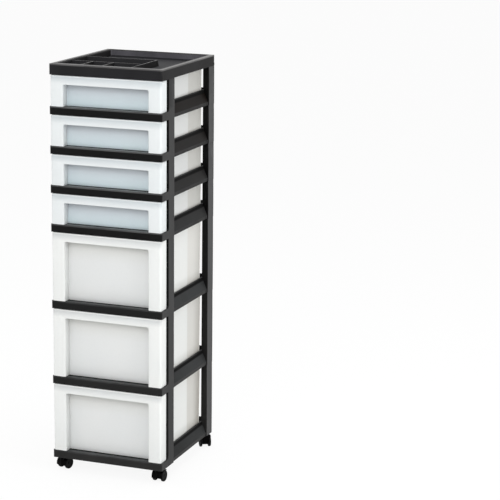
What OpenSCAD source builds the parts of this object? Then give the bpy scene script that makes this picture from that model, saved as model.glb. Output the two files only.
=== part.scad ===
// Drawer tower: seven stacked moulded frames, three deep drawers under four
// shallow ones, a divided tray on top and four twin-wheel casters below.
// Millimetres, +Z up. X = 0 is the middle of the front, Y = 0 the middle of
// the depth, Z = 0 the floor. The front faces -Y.

/* [Overall] */
// Width of the tower across the front bars
tower_w = 306; // [280:1:340]
// Depth of the tower from the front bars to the rear posts
tower_d = 348; // [330:1:400]
// Height of the lowest frame's underside above the floor
base_h = 35; // [34:0.5:40]
// Height of one deep module, ring to ring
deep_pitch = 200; // [170:1:240]
// Height of one shallow module, ring to ring
shallow_pitch = 100; // [90:1:130]

/* [Frame ring] */
// Thickness of the frame's walls
wall = 2.4; // [2:0.1:2.8]
// Height of the front bar
bar_h = 20.5; // [18:0.5:24]
// Front-to-back depth of the front bar
bar_d = 27; // [26.5:0.5:32]
// Radius of the bar's front corners, seen from above
bar_corner_r = 4; // [3:0.5:6]
// Radius of the bar's long front edges
bar_edge_r = 1.6; // [0.8:0.2:2]
// Space between the stiffening ribs under the bar
bar_rib_pitch = 37; // [30:1:60]
// Thickness of hidden ribs
rib_t = 1.6; // [1.2:0.1:2]
// Height of the side rails and of the rear wall
rail_h = 40.5; // [36:0.5:46]
// Height of the upright foot of the side rail
rail_foot_h = 9; // [6:0.5:12]
// Height of the upright lip on top of the side rail
rail_lip_h = 2.6; // [2:0.1:4]
// How far the rail's foot lies inside the tower's side
rail_foot_inset = 3; // [2:0.1:6]
// How far the rail's lip lies inside the tower's side
rail_lip_inset = 15.5; // [14:0.1:17]
// Width of the runner ledge that carries a drawer's edge
ledge_w = 14.5; // [12:0.5:20]
// Number of gussets under each runner ledge
ledge_gussets = 4; // [2:1:6]
// Depth of the stiffening shelf along the rear wall
rear_shelf_d = 12; // [8:0.5:16]

/* [Frame posts] */
// Setback of the front posts behind the front of the bar
post_setback = 44; // [40:0.5:50]
// Front-to-back depth of a front post
front_post_d = 36; // [30:0.5:42]
// Front-to-back depth of a rear post
rear_post_d = 38; // [30:0.5:44]
// Width of the posts' flanges, measured from the tower's side
post_w = 17; // [16.5:0.1:17.5]
// Radius of the posts' outer corners
post_r = 1.8; // [1:0.1:2]
// How far a post's outer faces lean in over the height of a module
post_draft = 0.8; // [0.2:0.1:1]
// Radius of the fillet between the ring's neck and the front post
neck_r = 6; // [3:0.5:9]
// Height of the spigot that plugs into the next ring
spigot_h = 5; // [3:0.5:5]
// Depth of the spigot's root inside its own post
spigot_root = 12; // [8:1:16]
// Wall of the spigot
spigot_t = 2; // [1.6:0.1:2.4]
// Clearance between a spigot and the ring it plugs into
spigot_fit = 0.2; // [0.1:0.05:0.4]

/* [Drawer] */
// Thickness of the drawer's walls
tub_t = 1.8; // [1.5:0.1:2.2]
// Thickness of the moulded front
face_t = 2.2; // [1.8:0.1:2.6]
// Gap between a drawer's side and the rails beside it
side_gap = 0.6; // [0.5:0.1:0.8]
// Gap between a drawer's underside and its runners
float_gap = 0.3; // [0.2:0.1:0.5]
// Gap between a drawer's front and the ring above it
top_gap = 1; // [0.6:0.1:2]
// How far the tub's top edge lies below the ring above
tub_drop = 3; // [2:0.5:6]
// How far the front lies inside the bar's ends
face_inset = 2.5; // [1.5:0.1:4]
// How far the front lies behind the bar's front
face_back = 0.6; // [0:0.1:2]
// Width of the upright stiles of the front
stile_w = 35; // [28:0.5:45]
// Height of the top rail of the front
face_rail_h = 23; // [18:0.5:28]
// Depth of the recess behind the stiles
recess_d = 24; // [18:0.5:24]
// Radius in the top corners of the recess
recess_r = 4; // [2:0.5:8]
// Depth of the front's side wings
wing_d = 36; // [32:0.5:38]
// Radius of the front's upright corners
face_r = 5; // [3:0.5:7]
// Radius of the front's top edge
face_top_r = 2.2; // [1:0.1:2.2]
// Clear space behind the drawers
rear_gap = 41; // [39:1:70]
// How far a deep drawer's rear wall leans in at the bottom
rear_lean = 5; // [2:0.5:12]
// Radius along the tub's side bottoms
tub_side_r = 8; // [5:0.5:12]
// Radius along the tub's rear bottom
tub_rear_r = 14; // [8:0.5:18]
// Radius of the tub's rear upright corners
tub_corner_r = 5; // [4:0.5:12]
// Depth of the step in the tub's sides
side_step = 0.7; // [0.3:0.1:0.9]
// Distance of that step behind the tower's front
side_step_at = 212; // [190:1:230]
// Height of the bead around the tub's rim
rim_bead_h = 3; // [2:0.5:5]
// How far the rim's bead stands out
rim_bead = 0.8; // [0.4:0.1:0.9]

/* [Top tray] */
// Height of the tray
tray_h = 27.5; // [24:0.5:34]
// Depth of the tray's compartments
tray_well = 19; // [16:0.5:20]
// Width of the tray's front rim
tray_rim_front = 18; // [12:0.5:24]
// Width of the tray's side rims
tray_rim_side = 12; // [8:0.5:15]
// Width of the tray's rear rim
tray_rim_rear = 4; // [3:0.5:8]
// Radius of the rim's outer top edges
tray_edge_r = 1.8; // [1:0.1:2.2]
// Radius in the corners of the well
tray_well_r = 4; // [2:0.5:8]
// Thickness of the dividers
divider_t = 1.8; // [1.4:0.1:2.4]
// How far the dividers' tops lie below the rim
divider_drop = 3; // [0.5:0.1:6]
// Distance of the rear cross divider behind the tower's front
divider_rear_y = 200; // [180:1:250]
// Distance of the front cross divider behind the tower's front
divider_front_y = 109; // [90:1:150]
// Distance of the long divider from the middle, to the right
divider_long_x = 54; // [20:1:80]
// Distance of the first short divider from the middle, to the left
divider_short_x1 = 82; // [60:1:110]
// Distance of the second short divider from the middle, to the left
divider_short_x2 = 25; // [5:1:50]
// How far the long divider's foot runs back past its top
divider_foot = 10; // [4:1:16]

/* [Casters] */
// Radius of a caster wheel
wheel_r = 15; // [13:0.5:15.5]
// Width of a caster wheel
wheel_w = 6.5; // [6:0.5:9]
// Radius of the wheel's tread edges
wheel_edge_r = 1.8; // [1:0.1:2.4]
// Distance from one wheel's middle to the other's
wheel_spread = 23.5; // [21:0.5:25]
// Distance of the axle behind the swivel axis
trail = 12; // [9:0.5:13]
// Distance of the swivel axes inside the tower's sides
caster_inset_x = 18; // [15.5:0.5:19]
// Distance of the front swivel axes behind the tower's front
caster_inset_front = 16; // [13:0.5:16.5]
// Distance of the rear swivel axes inside the tower's back
caster_inset_rear = 12; // [11:0.5:16.5]
// Radius of the stem in its socket
stem_r = 4; // [3:0.1:4.5]
// Radius of the stem's lower pin, on which the caster swivels
pin_r = 3; // [2.5:0.1:3.2]
// Radius of the stem's collar
collar_r = 5.5; // [5:0.1:6.5]
// Height of the stem's collar
collar_h = 2; // [1.5:0.1:2.5]
// Wall around the stem's socket
socket_wall = 2.6; // [2:0.1:3]
// Radius of the wheel axle
axle_r = 2; // [1.6:0.1:2.4]
// Radius of the axle's end heads
axle_head_r = 3.2; // [2.8:0.1:3.6]
// Thickness of the axle's end heads
axle_head_t = 1; // [0.8:0.1:1.2]
// Radial clearance of turning parts on their pins
turn_fit = 0.06; // [0.03:0.01:0.1]
// Clearance between turning parts that pass each other
pass_gap = 0.4; // [0.3:0.05:0.6]
// Thickness of the hood over the wheels
hood_t = 1.6; // [1.2:0.1:2]
// Clearance between the hood and the wheels' treads
hood_gap = 0.7; // [0.5:0.1:1]
// Height of the hood's lower rim above the floor
hood_rim_z = 11; // [9:0.5:18]
// How far the hood reaches back past the axle
hood_reach = 9.5; // [6:0.5:14]
// Radius of the web's foot around the axle
web_r = 9.3; // [7:0.1:11]
// Wall around the swivel pin
boss_wall = 3; // [2.4:0.1:3.5]
// Wall of the wheel's hub around the axle
hub_wall = 2.4; // [1.8:0.1:3]
// Thickness of the wheel's disc
disc_t = 2; // [1.5:0.1:2.6]
// Thickness of the wheel's tread ring
tread_t = 3; // [2:0.1:4]
// Number of spokes inside a wheel
spokes = 5; // [3:1:8]
// Turn of the front left caster
turn_front_left = -15; // [-180:1:180]
// Turn of the front right caster
turn_front_right = -3; // [-180:1:180]
// Turn of the rear left caster
turn_rear_left = 142; // [0:1:360]
// Turn of the rear right caster
turn_rear_right = 212; // [0:1:360]

/* [Hidden] */
$fn = 48;

// Modules from the floor up: three deep ones, then four shallow ones
pitches = [deep_pitch, deep_pitch, deep_pitch,
           shallow_pitch, shallow_pitch, shallow_pitch, shallow_pitch];
function ring_z(i) = i == 0 ? base_h : ring_z(i - 1) + pitches[i - 1];
tray_z = ring_z(len(pitches));

half_w = tower_w / 2;
front_y = -tower_d / 2;
rear_y = tower_d / 2;
front_post_y = front_y + post_setback;
rear_post_y = rear_y - rear_post_d;
bite = 1;      // overlap of pieces that are one moulding
past = 2;      // how far a cut runs past the face it opens

// Drawer, from the sizes of the frame around it
lip_x = half_w - rail_lip_inset - wall;
tub_x = lip_x - side_gap;
tub_z = bar_h + float_gap;
face_x = half_w - face_inset;
face_y = front_y + face_back;
panel_y = front_y + recess_d;
recess_x = face_x - stile_w;
wing_y = front_y + wing_d;
tub_y = rear_y - rear_gap;
rim_x = tub_x + rim_bead;

// Tray
floor_z = tray_h - tray_well;
well_x = half_w - tray_rim_side;
well_front = front_y + tray_rim_front;
well_rear = rear_y - tray_rim_rear;

// Casters
socket_r = stem_r + socket_wall;
socket_top = bar_h - wall;
hood_top = base_h - collar_h - pass_gap;
web_half = (wheel_spread - wheel_w) / 2 - pass_gap;
hood_inner = wheel_r + hood_gap;
hood_outer = hood_inner + hood_t;
hood_half = (wheel_spread + wheel_w) / 2;
axle_half = hood_half - pass_gap;
pin_bottom = wheel_r;
hub_r = axle_r + hub_wall;
boss_r = pin_r + boss_wall;
wheel_face = wheel_w - pass_gap - axle_head_t;

frame_tone = [0.19, 0.195, 0.2];
tray_tone = [0.17, 0.175, 0.18];
drawer_tone = [0.93, 0.94, 0.94];
caster_tone = [0.1, 0.1, 0.11];
steel_tone = [0.62, 0.62, 0.64];

// ---------------------------------------------------------------- helpers

// Extrudes a (y, z) outline along X
module along_x(from, length) {
    translate([from, 0, 0]) rotate([90, 0, 90]) linear_extrude(length) children();
}

// Extrudes an (x, z) outline along Y
module along_y(from, length) {
    translate([0, from + length, 0]) rotate([90, 0, 0]) linear_extrude(length) children();
}

// Draws its children on the right and mirrored on the left
module both_sides() {
    children();
    mirror([1, 0, 0]) children();
}

// Rectangle from [x0, y0] to [x1, y1]
module rect(x0, y0, x1, y1) {
    translate([x0, y0]) square([x1 - x0, y1 - y0]);
}

// Rectangle with its two corners at y0 rounded
module rect_round_low(x0, y0, x1, y1, r) {
    rect(x0, y0 + r, x1, y1);
    rect(x0 + r, y0, x1 - r, y0 + r + bite / 2);
    translate([x0 + r, y0 + r]) circle(r);
    translate([x1 - r, y0 + r]) circle(r);
}

// Rectangle with its two corners at y1 rounded
module rect_round_high(x0, y0, x1, y1, r) {
    rect(x0, y0, x1, y1 - r);
    rect(x0 + r, y1 - r - bite / 2, x1 - r, y1);
    translate([x0 + r, y1 - r]) circle(r);
    translate([x1 - r, y1 - r]) circle(r);
}

// Rectangle with all corners rounded
module rect_round(x0, y0, x1, y1, r) {
    rect(x0, y0 + r, x1, y1 - r);
    rect(x0 + r, y0, x1 - r, y1);
    for (x = [x0 + r, x1 - r], y = [y0 + r, y1 - r]) translate([x, y]) circle(r);
}

// Box from corner to corner
module block(lo, hi) {
    translate(lo) cube(hi - lo);
}

// ------------------------------------------------------------------ frame

// Channel outline of a post on the right, open towards the drawers
module post_outline(y0, depth) {
    difference() {
        union() {
            rect(half_w - post_w, y0, half_w - post_r, y0 + depth);
            rect(half_w - post_w, y0 + post_r, half_w, y0 + depth - post_r);
            for (y = [y0 + post_r, y0 + depth - post_r])
                translate([half_w - post_r, y]) circle(post_r);
        }
        rect(half_w - post_w - past, y0 + wall, half_w - wall, y0 + depth - wall);
    }
}

// Outline of a spigot: lines the channel of its post, less a clearance
module spigot_outline(y0, depth, fit) {
    outer_x = half_w - wall - fit;
    low_y = y0 + wall + fit;
    high_y = y0 + depth - wall - fit;
    difference() {
        rect(half_w - post_w, low_y, outer_x, high_y);
        rect(half_w - post_w - past, low_y + spigot_t, outer_x - spigot_t, high_y - spigot_t);
    }
}

// One post with the spigot on its top
module post(y0, depth, pitch) {
    linear_extrude(pitch) post_outline(y0, depth);
    translate([0, 0, pitch - spigot_root]) linear_extrude(spigot_root) spigot_outline(y0, depth, 0);
    translate([0, 0, pitch - bite]) linear_extrude(spigot_h + bite) spigot_outline(y0, depth, spigot_fit);
}

// Wedges cut from the posts' outer faces, so that they lean in upwards
module post_draft_cut(pitch) {
    both_sides() along_y(front_post_y - past, rear_y - front_post_y + 2 * past)
        polygon([[half_w, bar_h + neck_r], [half_w + past, bar_h + neck_r],
                 [half_w + past, pitch], [half_w - post_draft, pitch]]);
    along_x(-half_w - past, tower_w + 2 * past)
        polygon([[rear_y, rail_h], [rear_y + past, rail_h],
                 [rear_y + past, pitch], [rear_y - post_draft, pitch]]);
}

// Front bar and the necks that join it to the posts, hollow from below
module front_bar() {
    neck_x = half_w - post_w;
    difference() {
        intersection() {
            linear_extrude(bar_h) union() {
                rect_round_low(-half_w, front_y, half_w, front_y + bar_d, bar_corner_r);
                both_sides() rect(neck_x, front_y + bar_d - bite, half_w, front_post_y + bite);
            }
            along_x(-half_w, tower_w) union() {
                rect(front_y + bar_edge_r, 0, front_post_y + bite, bar_h);
                rect(front_y, bar_edge_r, front_y + bar_edge_r + bite, bar_h - bar_edge_r);
                for (z = [bar_edge_r, bar_h - bar_edge_r])
                    translate([front_y + bar_edge_r, z]) circle(bar_edge_r);
            }
        }
        block([-half_w + wall, front_y + wall, -past], [half_w - wall, front_y + bar_d - wall, bar_h - wall]);
        both_sides() block([neck_x + wall, front_y + bar_d - wall - bite, -past],
                           [half_w - wall, front_post_y, bar_h - wall]);
    }
}

// Evenly spaced ribs in the hollow of the front bar
module bar_ribs() {
    count = floor((tower_w - 2 * wall) / bar_rib_pitch);
    step = (tower_w - 2 * wall) / (count + 1);
    for (i = [1:count]) translate([-half_w + wall + i * step - rib_t / 2, front_y + wall / 2, wall])
        cube([rib_t, bar_d - wall, bar_h - 1.5 * wall]);
}

// Concave fillet where a neck runs up into the front post
module neck_fillet() {
    along_x(half_w - post_w, post_w) difference() {
        rect(front_post_y - neck_r, bar_h - bite / 2, front_post_y + bite, bar_h + neck_r);
        translate([front_post_y - neck_r, bar_h + neck_r]) circle(neck_r);
        rect(front_post_y - neck_r - past, bar_h, front_post_y - neck_r, bar_h + neck_r + past);
    }
}

// Section of the right side rail: foot, sloping face and lip
module rail_outline() {
    foot_x = half_w - rail_foot_inset;
    top_x = half_w - rail_lip_inset;
    slope_top = rail_h - rail_lip_h;
    polygon([[foot_x, 0], [foot_x, rail_foot_h], [top_x, slope_top], [top_x, rail_h],
             [top_x - wall, rail_h], [top_x - wall, slope_top - wall / 2],
             [foot_x - wall, rail_foot_h - wall / 2], [foot_x - wall, 0]]);
}

// x of the rail's sloping face at height z
function rail_face_x(z) = half_w - rail_foot_inset
    - (rail_lip_inset - rail_foot_inset) * (z - rail_foot_h) / (rail_h - rail_lip_h - rail_foot_h);

// Side rail, runner ledge and the gussets under it, on the right
module side_rail() {
    rail_y0 = front_post_y + front_post_d - wall / 2;
    rail_y1 = rear_post_y + wall / 2;
    ledge_z = bar_h - wall;
    ledge_in = tub_x - ledge_w;
    ledge_out = rail_face_x(bar_h) - wall / 2;
    along_y(rail_y0, rail_y1 - rail_y0) rail_outline();
    block([ledge_in, front_y + bar_d - wall, ledge_z], [half_w - post_w + bite, rear_y - wall / 2, bar_h]);
    block([ledge_in, rail_y0, ledge_z], [ledge_out, rail_y1, bar_h]);
    step = (rail_y1 - rail_y0) / (ledge_gussets + 1);
    for (i = [1:ledge_gussets]) along_y(rail_y0 + i * step - rib_t / 2, rib_t)
        polygon([[ledge_in + wall, bar_h - wall / 2], [ledge_out, bar_h - wall / 2],
                 [half_w - rail_foot_inset - wall / 2, rail_foot_h - wall],
                 [half_w - rail_foot_inset - wall, rail_foot_h - 2 * wall]]);
}

// Rear wall between the rear posts, with its stiffening shelf
module rear_wall() {
    block([-half_w + post_w - bite, rear_y - wall, 0], [half_w - post_w + bite, rear_y, rail_h]);
    block([-lip_x, rear_y - rear_shelf_d, bar_h - wall], [lip_x, rear_y - wall / 2, bar_h]);
}

// One stacking frame; base adds the casters' sockets
module frame_body(pitch, base) {
    difference() {
        union() {
            front_bar();
            bar_ribs();
            rear_wall();
            both_sides() {
                neck_fillet();
                side_rail();
                post(front_post_y, front_post_d, pitch);
                post(rear_post_y, rear_post_d, pitch);
            }
            if (base) for (p = caster_spots)
                translate([p[0], p[1], 0]) cylinder(r = socket_r, h = bar_h - wall / 2);
        }
        post_draft_cut(pitch);
        if (base) for (p = caster_spots)
            translate([p[0], p[1], -past]) cylinder(r = stem_r, h = socket_top + past);
    }
}

module frame(i) {
    color(frame_tone) translate([0, 0, ring_z(i)]) frame_body(pitches[i], i == 0);
}

// ----------------------------------------------------------------- drawer

// Outline of the tub from the side: flat floor, rounded corner and leaning rear
// wall. reach is the wall's place at the top, z0 the underside, z1 the top edge.
module tub_side_view(start, reach, lean, z0, z1, r) {
    rise = z1 - z0;
    run = sqrt(rise * rise + lean * lean);
    centre = reach - lean + r * (lean - run) / rise;
    polygon([[start, z0], [centre, z0], [centre, z0 + r],
             [centre + r * rise / run, z0 + r - r * lean / run], [reach, z1], [start, z1]]);
    translate([centre, z0 + r]) circle(r);
}

// Solid bounded by the tub's three outlines, drawn in by inset
module tub_solid(pitch, inset, z1) {
    z0 = tub_z + inset;
    y0 = panel_y + inset;
    lean = rear_lean * (pitch - tub_drop - tub_z) / (deep_pitch - tub_drop - tub_z);
    intersection() {
        along_y(y0, tub_y - y0)
            rect_round_low(-tub_x + inset, z0, tub_x - inset, z1, tub_side_r - inset);
        along_x(-tub_x, 2 * tub_x)
            tub_side_view(y0, tub_y - inset, lean, z0, z1, tub_rear_r - inset);
        translate([0, 0, tub_z]) linear_extrude(z1 - tub_z)
            rect_round_high(-tub_x + inset, y0, tub_x - inset, tub_y - inset, tub_corner_r - inset);
    }
}

// Bead around the top edge of the tub
module rim_bead_ring(z1) {
    translate([0, 0, z1 - rim_bead_h]) linear_extrude(rim_bead_h) difference() {
        rect_round_high(-rim_x, wing_y - bite, rim_x, tub_y + rim_bead, tub_corner_r + rim_bead);
        rect_round_high(-tub_x + tub_t / 2, wing_y - bite - past, tub_x - tub_t / 2,
                        tub_y - tub_t / 2, tub_corner_r - tub_t / 2);
    }
}

// Shallow set-in rear part of the tub's sides
module side_step_cut(pitch) {
    both_sides() block([tub_x - side_step, front_y + side_step_at, tub_z + tub_side_r],
                       [tub_x + past, tub_y - tub_corner_r, pitch - tub_drop - rim_bead_h]);
}

// The moulded front as a solid: rounded upright corners and top edge
module face_solid(z0, z1) {
    intersection() {
        translate([0, 0, z0]) linear_extrude(z1 - z0)
            rect_round_low(-face_x, face_y, face_x, wing_y, face_r);
        along_x(-face_x, 2 * face_x) union() {
            rect(face_y + face_top_r, z0, wing_y, z1);
            rect(face_y, z0, face_y + face_top_r + bite, z1 - face_top_r);
            translate([face_y + face_top_r, z1 - face_top_r]) circle(face_top_r);
        }
    }
}

// What is open in the front: the recess, the hollow top rail and stiles,
// and the pockets in the wings, all open downwards
module face_cuts(z0, z1) {
    rail_z = z1 - face_rail_h;
    inner_x = recess_x + face_t;
    // the recess in front of the panel
    along_y(front_y - past, recess_d + past)
        rect_round_high(-recess_x, z0 - past, recess_x, rail_z, recess_r);
    // the finger hollow behind the top rail
    block([-recess_x, face_y + face_t, z0 - past], [recess_x, panel_y, z1 - face_t]);
    both_sides() {
        block([inner_x, face_y + face_t, z0 - past], [face_x - face_t, panel_y, z1 - face_t]);
        block([tub_x, panel_y - bite, z0 - past], [face_x - face_t, wing_y - face_t, z1 - face_t]);
    }
}

module drawer_body(pitch) {
    z1 = pitch - top_gap;
    rim_z = pitch - tub_drop;
    difference() {
        union() {
            difference() {
                face_solid(bar_h + float_gap, z1);
                face_cuts(bar_h + float_gap, z1);
            }
            tub_solid(pitch, 0, rim_z);
            rim_bead_ring(rim_z);
        }
        side_step_cut(pitch);
        translate([0, 0, tub_t / 2]) tub_solid(pitch, tub_t, rim_z + past);
        block([-tub_x + tub_t, panel_y + tub_t, rim_z - bite], [tub_x - tub_t, wing_y + bite, pitch]);
    }
}

module drawer(i) {
    color(drawer_tone) translate([0, 0, ring_z(i)]) drawer_body(pitches[i]);
}

// ------------------------------------------------------------------- tray

// Outer form of the tray with rounded corners and rim
module tray_solid() {
    intersection() {
        linear_extrude(tray_h) rect_round(-half_w, front_y, half_w, rear_y, bar_corner_r);
        along_y(front_y, tower_d) rect_round_high(-half_w, 0, half_w, tray_h, tray_edge_r);
        along_x(-half_w, tower_w) rect_round_high(front_y, 0, rear_y, tray_h, tray_edge_r);
    }
}

// Hollow under the tray's floor and inside its front and side rims
module tray_hollow() {
    under = floor_z - wall;
    top = tray_h - wall;
    block([-half_w + wall, front_y + wall, -past], [half_w - wall, rear_y - wall, under]);
    block([-half_w + wall, front_y + wall, -past], [half_w - wall, well_front - wall, top]);
    both_sides() block([well_x + wall, front_y + wall, -past], [half_w - wall, rear_y - wall, top]);
}

// Upright divider from [x0, y0] to [x1, y1]
module divider(x0, y0, x1, y1) {
    block([x0, y0, floor_z - bite], [x1, y1, tray_h - divider_drop]);
}

module dividers() {
    t = divider_t;
    rear_at = front_y + divider_rear_y;
    front_at = front_y + divider_front_y;
    divider(-well_x - bite, rear_at - t, divider_long_x, rear_at);
    divider(-well_x - bite, front_at - t, divider_long_x, front_at);
    for (x = [divider_short_x1, divider_short_x2])
        divider(-x - t / 2, well_front - bite, -x + t / 2, front_at - bite / 2);
    along_x(divider_long_x - t / 2, t)
        polygon([[well_front - bite, floor_z - bite], [rear_at + divider_foot, floor_z - bite],
                 [rear_at + divider_foot, floor_z], [rear_at + t, tray_h - divider_drop],
                 [well_front - bite, tray_h - divider_drop]]);
}

// Channels under the tray that stand on the top frame's posts
module tray_seats() {
    both_sides() linear_extrude(floor_z - wall / 2) {
        post_outline(front_post_y, front_post_d);
        intersection() {
            post_outline(rear_post_y, rear_post_d);
            rect(0, rear_post_y, half_w, rear_y - wall / 2);
        }
    }
}

module tray() {
    color(tray_tone) translate([0, 0, tray_z]) union() {
        difference() {
            tray_solid();
            translate([0, 0, floor_z]) linear_extrude(tray_well + past)
                rect_round(-well_x, well_front, well_x, well_rear, tray_well_r);
            tray_hollow();
        }
        dividers();
        tray_seats();
    }
}

// ---------------------------------------------------------------- casters

// Place of each swivel axis: front left, front right, rear left, rear right
caster_spots = [for (y = [front_y + caster_inset_front, rear_y - caster_inset_rear])
                for (x = [-half_w + caster_inset_x, half_w - caster_inset_x]) [x, y]];
caster_turns = [turn_front_left, turn_front_right, turn_rear_left, turn_rear_right];

// Puts a caster drawn about its swivel axis under its corner
module at_corner(k) {
    translate([caster_spots[k][0], caster_spots[k][1], 0]) rotate([0, 0, caster_turns[k]]) children();
}

// Cylinder about the wheel axis between two distances from the middle
module on_axle(r, from, to) {
    translate([from, trail, wheel_r]) rotate([0, 90, 0]) cylinder(r = r, h = to - from);
}

// Stem: pin in the hood, collar under the ring, shank in its socket
module stem(k) {
    color(steel_tone) at_corner(k) {
        translate([0, 0, pin_bottom]) cylinder(r = pin_r, h = base_h - pin_bottom);
        translate([0, 0, base_h - collar_h]) cylinder(r = collar_r, h = collar_h);
        translate([0, 0, base_h - bite]) cylinder(r = stem_r, h = socket_top - pass_gap + bite);
    }
}

// Hood: web between the wheels, swivel boss and curved guard over the treads
module hood(k) {
    color(caster_tone) at_corner(k) difference() {
        union() {
            on_axle(web_r, -web_half, web_half);
            block([-web_half, -pin_r, pin_bottom - hood_t], [web_half, trail, hood_top - hood_t]);
            translate([0, 0, pin_bottom - boss_wall])
                cylinder(r = boss_r, h = hood_top - pin_bottom + boss_wall);
            difference() {
                intersection() {
                    on_axle(hood_outer, -hood_half, hood_half);
                    block([-hood_half, trail - hood_outer, hood_rim_z],
                          [hood_half, trail + hood_reach, hood_top]);
                }
                on_axle(hood_inner, -hood_half - past, -web_half);
                on_axle(hood_inner, web_half, hood_half + past);
            }
        }
        translate([0, 0, pin_bottom - pass_gap]) cylinder(r = pin_r + turn_fit, h = base_h);
        on_axle(axle_r, -hood_half, hood_half);
    }
}

// Axle with a flat head at each end
module axle(k) {
    color(caster_tone) at_corner(k) {
        on_axle(axle_r, -axle_half, axle_half);
        on_axle(axle_head_r, -axle_half, -axle_half + axle_head_t);
        on_axle(axle_head_r, axle_half - axle_head_t, axle_half);
    }
}

// Section of a wheel: hub, thin outer disc and wide tread, open inwards.
// Its y runs from the inner edge to the outer face.
module wheel_outline() {
    bore = axle_r + turn_fit;
    difference() {
        union() {
            rect(bore, 0, hub_r, wheel_face);
            rect(bore, wheel_face - disc_t, wheel_r - tread_t + bite / 2, wheel_face);
            rect(wheel_r - tread_t, 0, wheel_r - wheel_edge_r, wheel_w);
            rect(wheel_r - tread_t, wheel_edge_r, wheel_r, wheel_w - wheel_edge_r);
            for (z = [wheel_edge_r, wheel_w - wheel_edge_r])
                translate([wheel_r - wheel_edge_r, z]) circle(wheel_edge_r);
        }
        rect(bore - past, wheel_face - pass_gap, axle_head_r + pass_gap, wheel_w);
    }
}

// Spokes inside the wheel, between hub and tread
module wheel_spokes() {
    for (i = [1:spokes]) rotate([0, 0, i * 360 / spokes])
        block([hub_r - bite / 2, -rib_t / 2, rib_t],
              [wheel_r - tread_t + bite / 2, rib_t / 2, wheel_face - bite]);
}

// A wheel; side is -1 for the left one and 1 for the right one
module wheel(k, side) {
    color(caster_tone) at_corner(k) translate([side * (wheel_spread - wheel_w) / 2, trail, wheel_r])
        rotate([0, side * 90, 0]) {
            rotate_extrude() wheel_outline();
            wheel_spokes();
        }
}

// ------------------------------------------------------------------ nodes

tray();

frame(0);  // frame_1
frame(1);  // frame_2
frame(2);  // frame_3
frame(3);  // frame_4
frame(4);  // frame_5
frame(5);  // frame_6
frame(6);  // frame_7

drawer(0);  // drawer_1
drawer(1);  // drawer_2
drawer(2);  // drawer_3
drawer(3);  // drawer_4
drawer(4);  // drawer_5
drawer(5);  // drawer_6
drawer(6);  // drawer_7

stem(0);  // caster_front_left_stem
hood(0);  // caster_front_left_hood
axle(0);  // caster_front_left_axle
wheel(0, -1);  // caster_front_left_wheel_a
wheel(0, 1);  // caster_front_left_wheel_b
stem(1);  // caster_front_right_stem
hood(1);  // caster_front_right_hood
axle(1);  // caster_front_right_axle
wheel(1, -1);  // caster_front_right_wheel_a
wheel(1, 1);  // caster_front_right_wheel_b
stem(2);  // caster_rear_left_stem
hood(2);  // caster_rear_left_hood
axle(2);  // caster_rear_left_axle
wheel(2, -1);  // caster_rear_left_wheel_a
wheel(2, 1);  // caster_rear_left_wheel_b
stem(3);  // caster_rear_right_stem
hood(3);  // caster_rear_right_hood
axle(3);  // caster_rear_right_axle
wheel(3, -1);  // caster_rear_right_wheel_a
wheel(3, 1);  // caster_rear_right_wheel_b
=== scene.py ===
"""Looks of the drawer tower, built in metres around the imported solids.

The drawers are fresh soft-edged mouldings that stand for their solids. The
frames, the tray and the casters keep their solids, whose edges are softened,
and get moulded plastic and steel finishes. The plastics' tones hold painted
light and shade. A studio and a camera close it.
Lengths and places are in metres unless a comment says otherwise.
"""

from __future__ import annotations

import logging
import math
from dataclasses import dataclass, field
from enum import Enum

import bmesh
import bpy
from mathutils import Matrix, Vector

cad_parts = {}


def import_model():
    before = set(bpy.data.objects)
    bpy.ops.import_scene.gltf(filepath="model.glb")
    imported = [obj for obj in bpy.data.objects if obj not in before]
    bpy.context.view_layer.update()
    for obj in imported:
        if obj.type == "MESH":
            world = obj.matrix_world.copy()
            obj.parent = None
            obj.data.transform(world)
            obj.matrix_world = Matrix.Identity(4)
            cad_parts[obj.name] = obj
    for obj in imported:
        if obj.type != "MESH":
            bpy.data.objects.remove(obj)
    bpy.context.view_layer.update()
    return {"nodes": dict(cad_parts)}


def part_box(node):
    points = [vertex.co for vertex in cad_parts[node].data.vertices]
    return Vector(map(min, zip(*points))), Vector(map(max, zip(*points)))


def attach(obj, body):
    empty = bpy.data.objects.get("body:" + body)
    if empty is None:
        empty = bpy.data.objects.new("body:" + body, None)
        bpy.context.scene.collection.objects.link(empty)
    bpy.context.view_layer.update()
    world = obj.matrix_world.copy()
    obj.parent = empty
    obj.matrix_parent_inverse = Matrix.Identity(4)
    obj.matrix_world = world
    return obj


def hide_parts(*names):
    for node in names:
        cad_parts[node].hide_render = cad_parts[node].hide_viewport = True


LOG = logging.getLogger("drawer_tower")
MM = 0.001

Tone = tuple[float, float, float]
Point = tuple[float, float, float]
Span = tuple[float, float]
Socket = bpy.types.NodeSocket
Material = bpy.types.Material
Piece = bpy.types.Object
Shape = bmesh.types.BMesh
Vertex = bmesh.types.BMVert
Step = tuple[Vector, Vector]  # a point of a path and the way out from it


class Slot(Enum):
    """The record's material slot for the drawers, which the new pieces don't take."""

    DRAWER = "white_drawer"


class Module(Enum):
    """The two heights of module; the value is the pitch in metres."""

    DEEP = 0.200
    SHALLOW = 0.100


class Corner(Enum):
    """The four casters, by the corner that they stand under."""

    FRONT_LEFT = "front_left"
    FRONT_RIGHT = "front_right"
    REAR_LEFT = "rear_left"
    REAR_RIGHT = "rear_right"


class Sheen(Enum):
    """How rough a zone of black plastic is."""

    POLISHED = 0.35
    RUBBED = 0.4
    SATIN = 0.45
    EVEN = 0.5
    DULL = 0.6
    MATT = 0.7
    DEAD = 0.9


# ---------- materials


@dataclass(frozen=True)
class Band:
    """How a share rises from 0 to 1 along one part of a place or of a normal.

    Attributes:
        part: "X", "Y" or "Z", or with bars, as in "|X|", its size alone.
        none: Where the share is 0.
        full: Where it is 1, which may be the lower of the two.
    """

    part: str
    none: float
    full: float


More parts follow.
